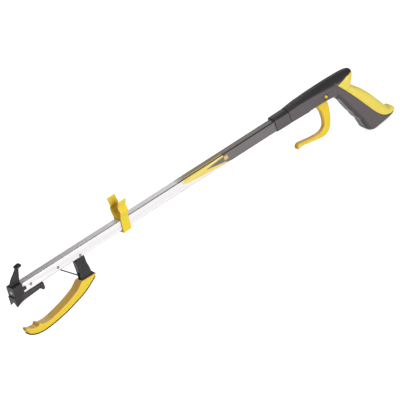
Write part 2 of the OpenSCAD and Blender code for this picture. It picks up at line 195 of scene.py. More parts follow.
# ------------------------------------------------------------ materials
def material(name, base, rough, bump, bump_scale, wear_and_sheen, vary, metal=0.0, rough_vary=0.12,
             mottle=60, wear_and_sheen_colour=None, bevel=0.0003, coat=0.0, brushed=None, dirt=0.0,
             subsurface=0.0, specular=0.5, corner_shade=None, facing=()):
    """A mottled, worn surface, with painted highlights on its edges and painted shade in corners
    and on faces turned certain ways.

    vary and rough_vary spread colour and roughness; mottle and bump_scale are noise scales.
    bevel is the radius of shaded edges; the wear setting says how far edges take the wear colour,
    which is partly real wear and partly painted highlight.
    brushed stretches the noise, by a scale for each axis.
    The corner setting (reach, amount, colour) paints shade into inside corners, darkening them
    towards its colour.
    facing holds ((normal's axis, where the tint starts, where it is full), amount, colour), a tint
    of painted light or shade on faces turned that way.
    """
    mat = bpy.data.materials.new(name)
    mat.use_nodes = True
    graph = Graph(mat)
    graph.nodes.clear()
    output = graph.node("OutputMaterial")
    shader = graph.node("BsdfPrincipled")
    graph.feed(output.inputs[0], shader.outputs[0])
    place = graph.node("TexCoord").outputs["Object"]
    if brushed:
        mapping = graph.node("Mapping")
        graph.feed(mapping.inputs[0], place)
        mapping.inputs["Scale"].default_value = brushed
        place = mapping.outputs[0]

    def noise(scale, detail):
        node = graph.node("TexNoise")
        graph.feed(node.inputs["Scale"], scale)
        graph.feed(node.inputs["Detail"], detail)
        graph.feed(node.inputs["Vector"], place)
        return node.outputs[0]

    patches = graph.ramp(noise(mottle, detail=5), start=0.3, end=0.7, low=0, high=1)
    colour = graph.mix(patches, [c * (1 - vary) for c in base],
                       [min(1, c * (1 + vary)) for c in base])
    if bevel:
        rounded = graph.bevel(bevel)
        geometry = graph.node("NewGeometry")
        # the wider bevel's normal leaves the face's own normal only near edges
        agreement = graph.dot(graph.bevel(bevel * 2.2), geometry.outputs["True Normal"])
        edge = graph.ramp(agreement, start=0.99, end=0.86, low=0, high=1)
        # edges take the wear colour in scuffy patches: partly real wear, partly painted highlight
        scuffs_and_sheen = graph.ramp(noise(420, detail=6), start=0.42, end=0.62, low=0, high=wear_and_sheen)
        colour = graph.mix(graph.times(edge, scuffs_and_sheen), colour,
                           wear_and_sheen_colour or [min(1, c * 1.5 + 0.05) for c in base])
    if dirt:
        spots = graph.ramp(noise(140, detail=8), start=0.56, end=0.75, low=0, high=dirt)
        colour = graph.mix(spots, colour, [c * 0.45 for c in base])
    # painted shade: inside corners darken towards a darker colour by ambient occlusion
    if corner_shade:
        reach, amount, corner_shade_colour = corner_shade
        occlusion = graph.node("AmbientOcclusion", samples=6)
        occlusion.inputs["Distance"].default_value = reach
        shade = graph.ramp(occlusion.outputs["AO"], start=0.25, end=0.95, low=amount, high=0)
        colour = graph.mix(shade, colour, corner_shade_colour)
    # painted light and shade: faces turned a given way take a tint
    for (axis, start, full), amount, tint in facing:
        normal = graph.split(graph.node("NewGeometry").outputs["Normal"])
        strength = graph.ramp(normal[axis], start, full, low=0, high=amount)
        colour = graph.mix(strength, colour, tint)
    grain = noise(bump_scale, detail=3)
    roughness = graph.ramp(noise(mottle * 3.1, detail=6), start=0.3, end=0.7,
                           low=max(0.03, rough - rough_vary), high=min(1, rough + rough_vary))
    relief = graph.node("Bump")
    graph.feed(relief.inputs["Strength"], bump)
    graph.feed(relief.inputs["Distance"], 0.0002)
    graph.feed(relief.inputs["Height"], grain)
    if bevel:
        graph.feed(relief.inputs["Normal"], rounded)
    settings = {"Roughness": roughness, "Metallic": metal, "Specular IOR Level": specular,
                "Coat Weight": coat, "Coat Roughness": 0.15, "Normal": relief.outputs[0],
                "Base Color": colour}
    if subsurface:
        settings.update({"Subsurface Weight": subsurface, "Subsurface Scale": 1.0,
                         "Subsurface Radius": (0.003, 0.002, 0.0008)})
    for socket, value in settings.items():
        graph.feed(shader.inputs[socket], value)
    return mat


# ways a face can turn, for painted light and shade: normal's axis, where a tint starts, where it is
# full
TO_TIP = (0, -0.15, -0.75)
DOWNWARD = (2, -0.1, -0.6)
BARE_METAL = (0.80, 0.785, 0.79)

LOOKS = {
    "shaft": dict(
        base=BARE_METAL, rough=0.36, metal=0.55, vary=0.02, rough_vary=0.06, bump=0.02,
        brushed=(0.04, 1, 1), bump_scale=5000, mottle=900, wear_and_sheen=0.0, bevel=0.0004),
    "black_plastic": dict(
        base=(0.017, 0.0145, 0.016), rough=0.34, vary=0.22, bump=0.2, bump_scale=2600, wear_and_sheen=0.8,
        wear_and_sheen_colour=(0.12, 0.108, 0.113), bevel=0.0005, specular=0.36,
        corner_shade=(0.004, 0.8, (0.004, 0.0035, 0.004))),
    "pad_rubber": dict(
        base=(0.018, 0.0155, 0.017), rough=0.5, vary=0.2, bump=0.25, bump_scale=2200, wear_and_sheen=0.4,
        wear_and_sheen_colour=(0.08, 0.072, 0.076), corner_shade=(0.003, 0.8, (0.006, 0.005, 0.006))),
    "magnet": dict(
        base=(0.34, 0.34, 0.35), rough=0.3, metal=1.0, vary=0.08, bump=0.06,
        brushed=(1, 1, 0.06), bump_scale=3000, wear_and_sheen=0.2),
    "pins": dict(
        base=(0.24, 0.235, 0.24), rough=0.36, metal=0.8, vary=0.1, bump=0.08, bump_scale=2400,
        wear_and_sheen=0.3, dirt=0.3, corner_shade=(0.002, 0.7, (0.03, 0.03, 0.03))),
    "spring": dict(
        base=(0.62, 0.62, 0.63), rough=0.3, metal=1.0, vary=0.06, bump=0.05, bump_scale=4000,
        bevel=0, wear_and_sheen=0),
    "cord": dict(
        base=(0.028, 0.027, 0.03), rough=0.7, vary=0.3, bump=0.9, bump_scale=2600, mottle=1200,
        bevel=0, wear_and_sheen=0),
    "yellow_plastic": dict(
        base=(1.0, 0.70, 0.025), rough=0.30, vary=0.02, rough_vary=0.06, bump=0.05,
        bump_scale=1800, wear_and_sheen=0.2, wear_and_sheen_colour=(1.0, 0.80, 0.25), bevel=0.0005,
        subsurface=0.05, corner_shade=(0.012, 0.7, (0.70, 0.28, 0.008)),
        # painted shade on faces turned to the tip, painted light on upward faces
        facing=[(TO_TIP, 0.55, (0.86, 0.42, 0.012)), ((2, 0.25, 0.75), 0.8, (1.0, 0.61, 0.16))]),
    "clip_plastic": dict(
        base=(1.0, 0.74, 0.02), rough=0.30, vary=0.03, rough_vary=0.06, bump=0.05,
        bump_scale=1800, wear_and_sheen=0.2, wear_and_sheen_colour=(1.0, 0.80, 0.25), bevel=0.0005,
        subsurface=0.05, corner_shade=(0.034, 1.0, (0.58, 0.20, 0.002))),
    "handle_plastic": dict(
        base=(0.102, 0.086, 0.092), rough=0.34, vary=0.05, rough_vary=0.05, bump=0.03,
        bump_scale=3000, wear_and_sheen=0.12, wear_and_sheen_colour=(0.22, 0.2, 0.205), bevel=0,
        # painted shade on faces turned to the tip, upwards and downwards
        facing=[(TO_TIP, 0.85, (0.026, 0.022, 0.024)),
                ((2, 0.12, 0.62), 0.85, (0.018, 0.0155, 0.017)),
                (DOWNWARD, 0.8, (0.022, 0.019, 0.020))]),
    "grip_rubber": dict(
        base=(1.0, 0.80, 0.13), rough=0.5, vary=0.03, rough_vary=0.06, bump=0.25,
        bump_scale=2400, wear_and_sheen=0.1, wear_and_sheen_colour=(1.0, 0.84, 0.35), bevel=0.0004,
        subsurface=0.08, corner_shade=(0.006, 0.6, (0.75, 0.40, 0.02))),
    "screws": dict(
        base=(0.55, 0.55, 0.56), rough=0.3, metal=1.0, vary=0.08, bump=0.06, bump_scale=2400,
        wear_and_sheen=0.3, dirt=0.2),
}


def profile_curve(graph, value, points, span, limits):
    """A curve node through (value, result) points, held in the ranges span and limits."""
    start, end = span
    low, high = limits
    scaled = [((a - start) / (end - start), (b - low) / (high - low)) for a, b in points]
    node = graph.node("FloatCurve")
    curve = node.mapping.curves[0]
    curve.points[0].location = scaled[0]
    curve.points[1].location = scaled[-1]
    for position in scaled[1:-1]:
        curve.points.new(*position)
    for point in curve.points:
        point.handle_type = "VECTOR"
    node.mapping.update()
    graph.feed(node.inputs["Value"], graph.soft(graph.minus(value, start), end - start))
    return graph.line(node.outputs[0], low, high - low)


def label_material():
    """Printed film: bare metal, a yellow swoosh, a dark rear field and a dark arrow."""
    mat = material(
        "mat_label", base=(0.165, 0.150, 0.155), rough=0.32, vary=0.05, rough_vary=0.04,
        bump=0.008, bump_scale=1500, mottle=30, wear_and_sheen=0.0, bevel=0, coat=0.2)
    graph = Graph(mat)
    shader = graph.find("BSDF_PRINCIPLED")
    dark_base = shader.inputs["Base Color"].links[0].from_socket
    x, y, z = graph.split(graph.find("TEX_COORD").outputs["Object"])
    minus, times, soft, line = graph.minus, graph.times, graph.soft, graph.line
    inverse, band = graph.inverse, graph.band

    arrow_tip = 0.3456
    arrow_height = 0.0016
    top = soft(minus(z, 0.0074), 0.0006)
    side = inverse(top)
    # dark field behind two slanting edges
    upper_edge = line(z, offset=0.3812, slope=-0.25)
    lower_edge = line(graph.plus(z, 0.0066), offset=0.3893, slope=-6.0)
    rear = soft(minus(x, graph.largest(upper_edge, lower_edge)))
    # the arrow widens from its tip towards the rear field
    under_upper = soft(minus(line(minus(x, arrow_tip), arrow_height, slope=0.100), z), 0.0003)
    over_lower = soft(minus(z, line(minus(x, arrow_tip), arrow_height, slope=-0.165)), 0.0003)
    arrow = times(under_upper, over_lower, soft(minus(x, arrow_tip)))
    # the top face darkens over the label's first 24 mm
    fade = soft(minus(x, 0.300), 0.024)
    dark = graph.largest(graph.largest(rear, arrow), times(top, fade))

    # yellow swoosh: behind a V-shaped front end and above a falling lower edge of (x, z) points
    swoosh_edge = [(0.300, 0.0046), (0.309, 0.0004), (0.325, -0.0017), (0.340, -0.0033),
                   (0.357, -0.0048), (0.380, -0.0062), (0.392, -0.0066)]
    edge = profile_curve(graph, x, swoosh_edge, span=(0.300, 0.400), limits=(-0.010, 0.010))
    above = soft(minus(z, edge), 0.0005)
    front_end = line(graph.magnitude(minus(z, 0.0035)), offset=0.3035, slope=1.6)
    yellow = times(above, soft(minus(x, front_end), 0.003), inverse(rear))
    # it runs onto the top face on the left (-y) only, and more faintly
    left = soft(minus(-0.0022, y), 0.0010)
    yellow = times(yellow, graph.largest(side, times(left, 0.75)))

    colour = graph.mix(inverse(dark), dark_base, BARE_METAL)
    # warm brown cast where the top face fades in
    brown = times(top, fade, inverse(soft(minus(x, 0.34), 0.12)))
    colour = graph.mix(times(brown, 0.9), colour, (0.34, 0.245, 0.115))
    # a pale rising line inside the swoosh
    rise = line(minus(x, 0.31), offset=0.0016, slope=0.075)
    pale_line = times(band(z, rise, half=0.0006, width=0.0003), soft(minus(0.378, x)))
    swoosh = graph.mix(pale_line, (0.98, 0.76, 0.10), (1.0, 0.88, 0.42))
    colour = graph.mix(times(yellow, 0.94, inverse(arrow)), colour, swoosh)
    # pale square at the front of the dark field
    square = times(band(x, 0.3840, half=0.0034), band(z, 0.0011, half=0.0031), side)
    colour = graph.mix(times(square, 0.9), colour, (0.86, 0.60, 0.24))
    graph.feed(shader.inputs["Base Color"], colour)
    bare = times(inverse(dark), inverse(yellow))
    graph.feed(shader.inputs["Metallic"], times(bare, 0.55))
    return mat


def corner_tint(mat, corner_y, corner_z, amount, top_amount):
    """Paint a dark reflection along a tube's four long rounded corners, and darken its top face by
    top_amount.
    """
    softness = 0.0005
    graph = Graph(mat)
    base_input = graph.find("BSDF_PRINCIPLED").inputs["Base Color"]
    _, y, z = graph.split(graph.find("TEX_COORD").outputs["Object"])
    out_y = graph.magnitude(y)
    out_z = graph.magnitude(z)
    corner = graph.times(graph.soft(graph.minus(out_y, corner_y), softness),
                         graph.soft(graph.minus(out_z, corner_z), softness))
    top = graph.soft(graph.minus(z, corner_z + 0.0006), softness)
    tint = graph.math("MAXIMUM", graph.times(corner, amount), graph.times(top, top_amount),
                      clamp=True)
    darkened = graph.mix(tint, base_input.links[0].from_socket, (0.10, 0.095, 0.10), "MULTIPLY")
    graph.feed(base_input, darkened)


MATERIALS = {name: material("mat_" + name, **look) for name, look in LOOKS.items()}
MATERIALS["label"] = label_material()
corner_tint(MATERIALS["shaft"], corner_y=0.0049, corner_z=0.0064, amount=0.72, top_amount=0.0)
corner_tint(MATERIALS["label"], corner_y=0.0048, corner_z=0.0066, amount=0.97, top_amount=0.26)


# ------------------------------------------------------------ mesh helpers
def place_piece(name, mesh, look, body, node, sharp_angle):
    """Shade a mesh, make its object, attach it to its body and hide the CAD node it stands for."""
    mesh.materials.clear()
    mesh.materials.append(MATERIALS[look])
    for polygon in mesh.polygons:
        polygon.use_smooth = True
    mesh.set_sharp_from_angle(angle=math.radians(sharp_angle))
    obj = link(bpy.data.objects.new(name, mesh))
    if body:
        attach(obj, body)
    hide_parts(node)
    return obj


def mesh_piece(name, verts, faces, look, body, node, sharp_angle):
    """A piece from vertices in metres and faces."""
    mesh = bpy.data.meshes.new(name)
    mesh.from_pydata([tuple(v) for v in verts], [], [tuple(f) for f in faces])
    mesh.validate()
    mesh.update()
    bm = bmesh.new()
    bm.from_mesh(mesh)
    bmesh.ops.recalc_face_normals(bm, faces=bm.faces)
    bm.to_mesh(mesh)
    bm.free()
    return place_piece(name, mesh, look, body, node, sharp_angle)


def refine(node, name, look, body, bevel, segments=2):
    """A clean copy of a CAD node's shape, with edges over 34 degrees bevelled by bevel mm."""
    mesh = nodes[node].data.copy()
    mesh.name = name
    bm = bmesh.new()
    bm.from_mesh(mesh)
    bmesh.ops.remove_doubles(bm, verts=bm.verts, dist=3e-6)
    bmesh.ops.dissolve_limit(bm, angle_limit=math.radians(0.6), verts=bm.verts, edges=bm.edges)
    sharp = [edge for edge in bm.edges
             if len(edge.link_faces) == 2 and edge.calc_face_angle(0) > math.radians(34)]
    if bevel and sharp:
        bmesh.ops.bevel(bm, geom=sharp, offset=bevel * MM, segments=segments, profile=0.5,
                        affect="EDGES", clamp_overlap=True)
    bmesh.ops.remove_doubles(bm, verts=bm.verts, dist=2e-6)
    bmesh.ops.dissolve_degenerate(bm, edges=bm.edges, dist=2e-6)
    bm.to_mesh(mesh)
    bm.free()
    place_piece(name, mesh, look, body, node, sharp_angle=35)


def spline(points, steps=4):
    """A Catmull-Rom curve through the points, with steps points to each span."""
    points = np.array(points, float)
    last = len(points) - 1
    curve = []
    for i in range(last):
        before, start = points[max(i - 1, 0)], points[i]
        end, after = points[i + 1], points[min(i + 2, last)]
        for k in range(steps):
            t = k / steps
            curve.append(0.5 * (2 * start + (end - before) * t
                                + (2 * before - 5 * start + 4 * end - after) * t * t
                                + (3 * start - before - 3 * end + after) * t ** 3))
    curve.append(points[-1])
    return np.array(curve)


def sweep(name, path, radius, look, body, node, sides=12, twist=0.0, lobes=0):
    """A capped round strand along a path in mm; lobes and twist (radians a point) lay it up."""
    path = [Vector(point) for point in path]
    count = len(path)
    verts, faces = [], []
    across = None
    for i, point in enumerate(path):
        along = (path[min(i + 1, count - 1)] - path[max(i - 1, 0)]).normalized()
        if across is None:
            across = Vector((0, 1, 0))
            if abs(along.dot(across)) >= 0.9:
                across = Vector((1, 0, 0))
        across = (across - along * across.dot(along)).normalized()
        third = along.cross(across)
        for k in range(sides):
            angle = 2 * math.pi * k / sides
            swell = 0.07 * math.cos(lobes * angle + twist * i) if lobes else 0
            spoke = across * math.cos(angle) + third * math.sin(angle)
            verts.append((point + spoke * (radius * (1 + swell))) * MM)
    for i in range(count - 1):
        for k in range(sides):
            a, b = i * sides + k, i * sides + (k + 1) % sides
            faces.append((a, b, b + sides, a + sides))
    first_cap = len(verts)
    verts += [path[0] * MM, path[-1] * MM]
    last_ring = (count - 1) * sides
    for k in range(sides):
        following = (k + 1) % sides
        faces.append((first_cap, following, k))
        faces.append((first_cap + 1, last_ring + k, last_ring + following))
    return mesh_piece(name, verts, faces, look, body, node, sharp_angle=60)


# ------------------------------------------------------------ distance fields
def grid(low, high, step):
    """Axes, and x, y, z arrays, of a grid from low to at least high."""
    counts = [int(math.ceil((b - a) / step)) + 1 for a, b in zip(low, high)]
    axes = [a + step * np.arange(count) for a, count in zip(low, counts)]
    return axes, np.meshgrid(*axes, indexing="ij")


def grid_step(full):
    return full


def polygon_distance(across, up, outline):
    """Signed distance to a closed polygon in any plane, negative inside."""
    outline = np.asarray(outline, float)
    square = np.full(across.shape, 1e9)
    inside = np.zeros(across.shape, bool)
    for start, end in zip(outline, np.roll(outline, -1, axis=0)):
        edge = end - start
        length2 = edge @ edge
        if length2 < 1e-12:
            continue
        to_across, to_up = across - start[0], up - start[1]
        t = np.clip((to_across * edge[0] + to_up * edge[1]) / length2, 0, 1)
        square = np.minimum(square, (to_across - edge[0] * t) ** 2 + (to_up - edge[1] * t) ** 2)
        if start[1] != end[1]:
            spans = (start[1] > up) != (end[1] > up)
            inside ^= spans & (across < edge[0] * to_up / edge[1] + start[0])
    return np.where(inside, -1, 1) * np.sqrt(square)


def side_outline(x, z, outline):
    """Distance to an (x, z) outline, the same for every y of the grid."""
    return polygon_distance(x[:, 0, :], z[:, 0, :], outline)[:, None, :]


def plate(outline, across, half, rounding):
    """An outline's distance thickened to |across| < half, with rounded edges."""
    out = outline + rounding
    over = np.abs(across) - half + rounding
    return (np.hypot(np.maximum(out, 0), np.maximum(over, 0))
            + np.minimum(np.maximum(out, over), 0) - rounding)


def meet(*fields):
    """The space inside every field."""
    return reduce(np.maximum, fields)


def cut(field, tool):
    return np.maximum(field, -tool)


def rect(a, b, half, centre=(0, 0)):
    return meet(np.abs(a - centre[0]) - half[0], np.abs(b - centre[1]) - half[1])


def smooth_join(a, b, blend):
    t = np.clip(0.5 + 0.5 * (b - a) / blend, 0, 1)
    return b + (a - b) * t - blend * t * (1 - t)


def smooth_meet(a, b, blend):
    return -smooth_join(-a, -b, blend)


def surface_net(field, axes, relax):
    """Closed quads round field < 0, as vertices (mm) and faces."""
    # keep the grid's border outside, so the surface closes
    for axis in range(3):
        for end in (0, -1):
            border = [slice(None)] * 3
            border[axis] = end
            field[tuple(border)] = np.maximum(field[tuple(border)], 0.05)
    inside = field < 0
    step = axes[0][1] - axes[0][0]
    cells = [n - 1 for n in field.shape]
    crossing_sum = np.zeros((*cells, 3))
    crossings = np.zeros(cells)
    corners = [(i, j, k) for k in (0, 1) for j in (0, 1) for i in (0, 1)]

    def at_corner(values, corner):
        return values[tuple(slice(c, n + c) for c, n in zip(corner, cells))]

    # each active cell's vertex is the mean of its edge crossings
    for index, start in enumerate(corners):
        for end in corners[index + 1:]:
            if sum(abs(a - b) for a, b in zip(start, end)) != 1:
                continue
            crossed = at_corner(inside, start) != at_corner(inside, end)
            value_a = at_corner(field, start)[crossed]
            value_b = at_corner(field, end)[crossed]
            t = value_a / (value_a - value_b)
            edge = np.array(end) - np.array(start)
            crossing_sum[crossed] += np.array(start)[None] + t[:, None] * edge[None]
            crossings[crossed] += 1
    active = crossings > 0
    vertex_index = -np.ones(active.shape, np.int64)
    vertex_index[active] = np.arange(active.sum())
    offsets = crossing_sum[active] / crossings[active][:, None]
    verts = (np.argwhere(active) + offsets) * step + np.array([axis[0] for axis in axes])

    # each crossed grid edge joins the four cells round it
    quads = []
    for axis in range(3):
        near = tuple(slice(0, -1) if k == axis else slice(1, -1) for k in range(3))
        far = tuple(slice(1, None) if k == axis else slice(1, -1) for k in range(3))
        crossed = inside[near] != inside[far]
        cell = np.argwhere(crossed)
        if not len(cell):
            continue
        cell = cell + np.array([0 if k == axis else 1 for k in range(3)])
        step_u, step_v = [np.eye(3, dtype=int)[k] for k in range(3) if k != axis]
        around = (cell - step_u - step_v, cell - step_v, cell, cell - step_u)
        quad = np.stack([vertex_index[tuple(c.T)] for c in around], 1)
        keep = inside[near][crossed] if axis != 1 else ~inside[near][crossed]
        quad[~keep] = quad[~keep][:, ::-1]
        quads.append(quad)
    quads = np.concatenate(quads)

    # light passes that even the quads
    for _ in range(relax):
        neighbour_sum = np.zeros_like(verts)
        neighbours = np.zeros(len(verts))
        for i in range(4):
            a, b = quads[:, i], quads[:, (i + 1) % 4]
            for here, there in ((a, b), (b, a)):
                np.add.at(neighbour_sum, here, verts[there])
                np.add.at(neighbours, here, 1)
        verts = verts + 0.35 * (neighbour_sum / neighbours[:, None] - verts)
    return verts, quads


def field_piece(name, field, axes, look, body, node, relax=1, sharp_angle=60):
    verts, quads = surface_net(field, axes, relax)
    mesh_piece(name, verts * MM, quads, look, body, node, sharp_angle)


# ------------------------------------------------------------ handle
# handle and trigger are drawn with the shells' front at x = 498, then shifted to the CAD front
handle_front = box_mm("handle_shell_left")[0][0]
shift = handle_front - 498.0
trigger_axis = centre_xz("trigger_pin")

# barrel stations: x, crown z, half width, z of the crown's side edge, underside z
BARREL = np.array([
    (498, 12.4, 9.4, 9.4, -8.8), (518, 14.2, 10.5, 11.2, -8.8), (543, 15.9, 11.8, 10.6, -8.9),
    (559, 16.6, 12.4, 9.3, -9.2), (575, 16.7, 12.8, 8.0, -10.6), (591, 16.2, 12.7, 6.8, -10.6),
    (600, 15.6, 12.3, 6.6, -6.0), (607, 14.7, 11.6, 6.9, 0.0), (613, 13.1, 10.2, 7.4, 5.4),
    (616, 11.7, 8.6, 7.8, 7.0)]).T

# grip outline (x, z): down the front and along the bottom, then up the back
GRIP_FRONT = [
    (577.6, -6), (577.0, -14.2), (580.2, -18.0), (583.8, -23.2), (586.8, -30.6), (590.2, -38.8),
    (592.4, -43.8), (595.0, -48.2), (596.8, -53.7), (599.2, -58.6), (602.0, -62.8),
    (603.5, -68.6), (604.9, -73.6), (606.4, -79.4), (611.2, -84.9), (619.0, -87.7),
    (630.3, -86.5), (642.2, -84.9), (653.6, -81.9), (658.9, -77.8)]
GRIP_BACK = [
    (658.9, -77.8), (659.4, -75.2), (657.9, -72.4), (655.6, -71.6), (651.6, -71.6),
    (647.8, -66.6), (640.0, -53.2), (632.5, -40.6), (625.1, -29.4), (617.0, -19.6),
    (608.6, -10.9), (605.6, -4.8), (605.8, 1.0), (608.4, 6.2), (611.5, 9.6)]
grip_outline = np.concatenate(
    [spline(GRIP_FRONT), spline(GRIP_BACK)[1:], [(604, 11.5), (580, 11)]]) + [shift, 0]
GRIP_WIDTH = ([-12, 5, 20, 45, 70, 89], [11.6, 12.0, 12.6, 12.9, 13.0, 12.7])  # -z, half width
# crease along the barrel's side: x, z
CREASE_LINE = ([528, 535, 558, 575, 590, 603], [-9.5, -1.6, 2.9, 4.6, 6.2, 10.0])

# region (x, z) of the soft saddle on the back of the grip
saddle_outline = np.array([
    (582.4, 4.9), (590, 6.4), (600, 9.0), (612, 10.0), (690, 10.0), (690, -72), (664.5, -75.4),
    (655.0, -77.4), (646.5, -77.6), (640.0, -75.9), (634.6, -72.0), (628.6, -65.6),
    (623.0, -57.4), (616.4, -46.4), (605.7, -28.9), (594.6, -12.2), (584.9, 1.2)]) + [shift, 0]


def domed_bar(y, z, crown, side_height, half_width):
    """A bar along x: its top falls from crown to side_height at half_width."""
    drop = crown - side_height
    slope = 2 * drop * np.minimum(np.abs(y), half_width) / half_width ** 2
    dome = (z - crown + drop * (np.abs(y) / half_width) ** 2.1) / np.sqrt(1 + slope ** 2)
    return smooth_meet(dome, np.abs(y) - half_width, blend=1.6)


def handle_field(x, y, z):
    """Barrel and grip as one solid."""
    drawn_x = x - shift
    crown, half_width, side_height, underside = [
        np.interp(drawn_x[:, :1, :1], BARREL[0], column) for column in BARREL[1:]]
    field = domed_bar(y, z, crown, side_height, half_width)
    field = smooth_meet(field, underside - z, blend=4.5)
    rounded_tail = drawn_x - (616.4 - 0.055 * y ** 2)
    field = smooth_meet(field, rounded_tail, blend=5.0)
    grip = plate(side_outline(x, z, grip_outline), y, np.interp(-z, *GRIP_WIDTH), rounding=7.5)
    field = smooth_join(field, grip, blend=5.0)
    # the lower housing sits in from the barrel's side, below a rising crease
    depth = 1.15
    along = np.clip((drawn_x - 524) / 16, 0, 1) * np.clip((600 - drawn_x) / 22, 0, 1)
    below = np.clip((np.interp(drawn_x, *CREASE_LINE) - z) / 1.1, 0, 1)
    outboard = np.clip((np.abs(y) - 6.5) / 3, 0, 1)
    fade_down = np.clip((z + 22) / 14, 0, 1)
    return field + depth * along * below * below * (3 - 2 * below) * outboard * fade_down


def screw_axes():
    """(x, z) of each handle screw, from the clusters of the screws' own points."""
    groups = []
    for vertex in nodes["handle_screws"].data.vertices:
        point = np.array([vertex.co.x, vertex.co.z]) * 1000
        for group in groups:
            if math.hypot(*(point - group[0])) < 6:
                group.append(point)
                break
        else:
            groups.append([point])
    return [(np.min(group, axis=0) + np.max(group, axis=0)) / 2 for group in groups]


def distance_from_axis(x, z, axis):
    return np.hypot(x - axis[0], z - axis[1])


def build_handle():
    step = grid_step(0.6)
    screws = screw_axes()
    for side, name, node, y_low, y_high in (
            (-1, "shell_left_skin", "handle_shell_left", -14.4, 0.9),
            (1, "shell_right_skin", "handle_shell_right", -0.9, 14.4)):
        axes, (x, y, z) = grid((handle_front - 1.2, y_low, -90.6),
                               (665.0 + shift, y_high, 18.6), step)
        field = handle_field(x, y, z)
        # shallow seat for the soft saddle
        seat = side_outline(x, z, saddle_outline) - 0.12
        field = cut(field, meet(seat, -(field + 2.4)))
        field = meet(field, handle_front + 0.12 - x)
        # bore for the shaft, then the trigger's slot
        field = cut(field, meet(rect(y, z, half=(6.42, 8.02)), x - (handle_front + 22)))
        slot = rect(x - shift, z, half=(17.9, 13), centre=(558.4, -6))
        field = cut(field, meet(np.abs(y) - 5.1, slot))
        # round openings at the trigger pin's ends, and over the screws on the right
        pin_opening = distance_from_axis(x, z, trigger_axis) - 3.35
        field = cut(field, meet(pin_opening, 9.5 - np.abs(y)))
        if side > 0:
            for axis in screws:
                opening = distance_from_axis(x, z, axis) - 3.05
                field = cut(field, meet(opening, 4.0 - np.abs(y)))
        field = meet(field, -side * y + 0.05)
        field_piece(name, field, axes, "handle_plastic", "frame", node, relax=2, sharp_angle=50)

    # the saddle is a skin that stands a little proud of the shells
    axes, (x, y, z) = grid((580 + shift, -14.4, -80.0), (665.0 + shift, 14.4, 12.2), step)
    handle = handle_field(x, y, z)
    saddle = smooth_meet(handle - 0.12, side_outline(x, z, saddle_outline) + 0.05, blend=0.7)
    saddle = cut(saddle, handle + 2.2)
    field_piece("grip_saddle", saddle, axes, "grip_rubber", "frame", "grip_inlay",
                relax=2, sharp_angle=50)


def build_collar():
    """Grooved sleeve in front of the shells."""
    low, high = box_mm("nose_collar")
    front, rear = low[0], high[0]
    axes, (x, y, z) = grid((front - 1, -11, -11), (rear + 1, 11, 14), 0.5)
    stations = [front, front + 3, rear]
    half_width = np.interp(x, stations, [8.9, 9.05, 9.4])
    crown = np.interp(x, stations, [11.2, 11.5, 12.4])
    field = domed_bar(y, z, crown, 9.4, half_width)
    field = smooth_meet(field, -8.85 - z, blend=4.0)
    groove_depth, groove_half = 0.35, 0.7
    field = field + np.clip(1 - np.abs(x - front - 3.1) / groove_half, 0, 1) * groove_depth
    field = smooth_meet(field, meet(front - x, x - rear + 0.05), blend=0.8)
    field = cut(field, rect(y, z, half=(6.4, 8.0)))
    field_piece("nose_sleeve", field, axes, "handle_plastic", "frame", "nose_collar",
                sharp_angle=50)


build_handle()
build_collar()

# ------------------------------------------------------------ trigger
# lever outline (x, z): down the rear and along the underside, then back over the upper side
LEVER_REAR = [
    (566.0, -2.0), (565.0, -9.8), (564.3, -24.0), (560.8, -40.0), (553.4, -52.8),
    (542.0, -56.9), (526, -54.7), (511, -52.1), (503.4, -51.4), (499.2, -52.4)]
LEVER_FRONT = [
    (497.6, -52.8), (496.7, -50.6), (498.4, -46.8), (502.8, -45.0), (512, -46.3),
    (527, -48.3), (539.4, -48.0), (546.8, -43.4), (549.5, -34.5), (549.4, -22.5),
    (546.5, -11.5), (546.4, -4)]
LEVER_TOP = [(552, 3), (560, 5)]
# the arm that reaches forward from the pivot (x, z)
CORD_ARM = [(559, 6.2), (553, 5.6), (545, 7.6), (540, 8.9), (538, 8.2), (537.7, 6.2),
            (538.8, 5.1), (546, 2), (553, -3.6), (560, -3)]


def build_trigger():
    pin_low, pin_high = box_mm("trigger_pin")
    hole_radius = (pin_high[0] - pin_low[0]) / 2 + 0.02
    lever = np.concatenate([spline(LEVER_REAR), spline(LEVER_FRONT), LEVER_TOP]) + [shift, 0]
    axes, (x, y, z) = grid((494 + shift, -6, -59), (568.5 + shift, 6, 10.5), 0.45)
    half = np.interp(x - shift, [497, 520, 548], [5.2, 5.0, 4.6])
    field = plate(side_outline(x, z, lever), y, half, rounding=2.6)
    from_axis = distance_from_axis(x, z, trigger_axis)
    field = smooth_join(field, meet(from_axis - 6.2, np.abs(y) - 4.45), blend=1.5)
    arm = side_outline(x, z, np.array(CORD_ARM) + [shift, 0])
    field = smooth_join(field, plate(arm, y, half=2.4, rounding=0.6), blend=1.5)
    field = cut(field, from_axis - hole_radius)
    field_piece("trigger_lever", field, axes, "yellow_plastic", "trigger", "trigger",
                relax=2, sharp_angle=50)


build_trigger()

# ------------------------------------------------------------ jaw
# (x, z) of the arm's underside, from its rear to the tip
JAW_OUTER = spline([
    (134, -42), (123.5, -48.9), (113.1, -55.0), (101.4, -59.8), (87.9, -63.9), (73.8, -67.9),
    (57.3, -71.2), (41, -73.3), (26.2, -74.2), (14.6, -72.6), (5.2, -68.2), (1.0, -60.6)],
    steps=5)
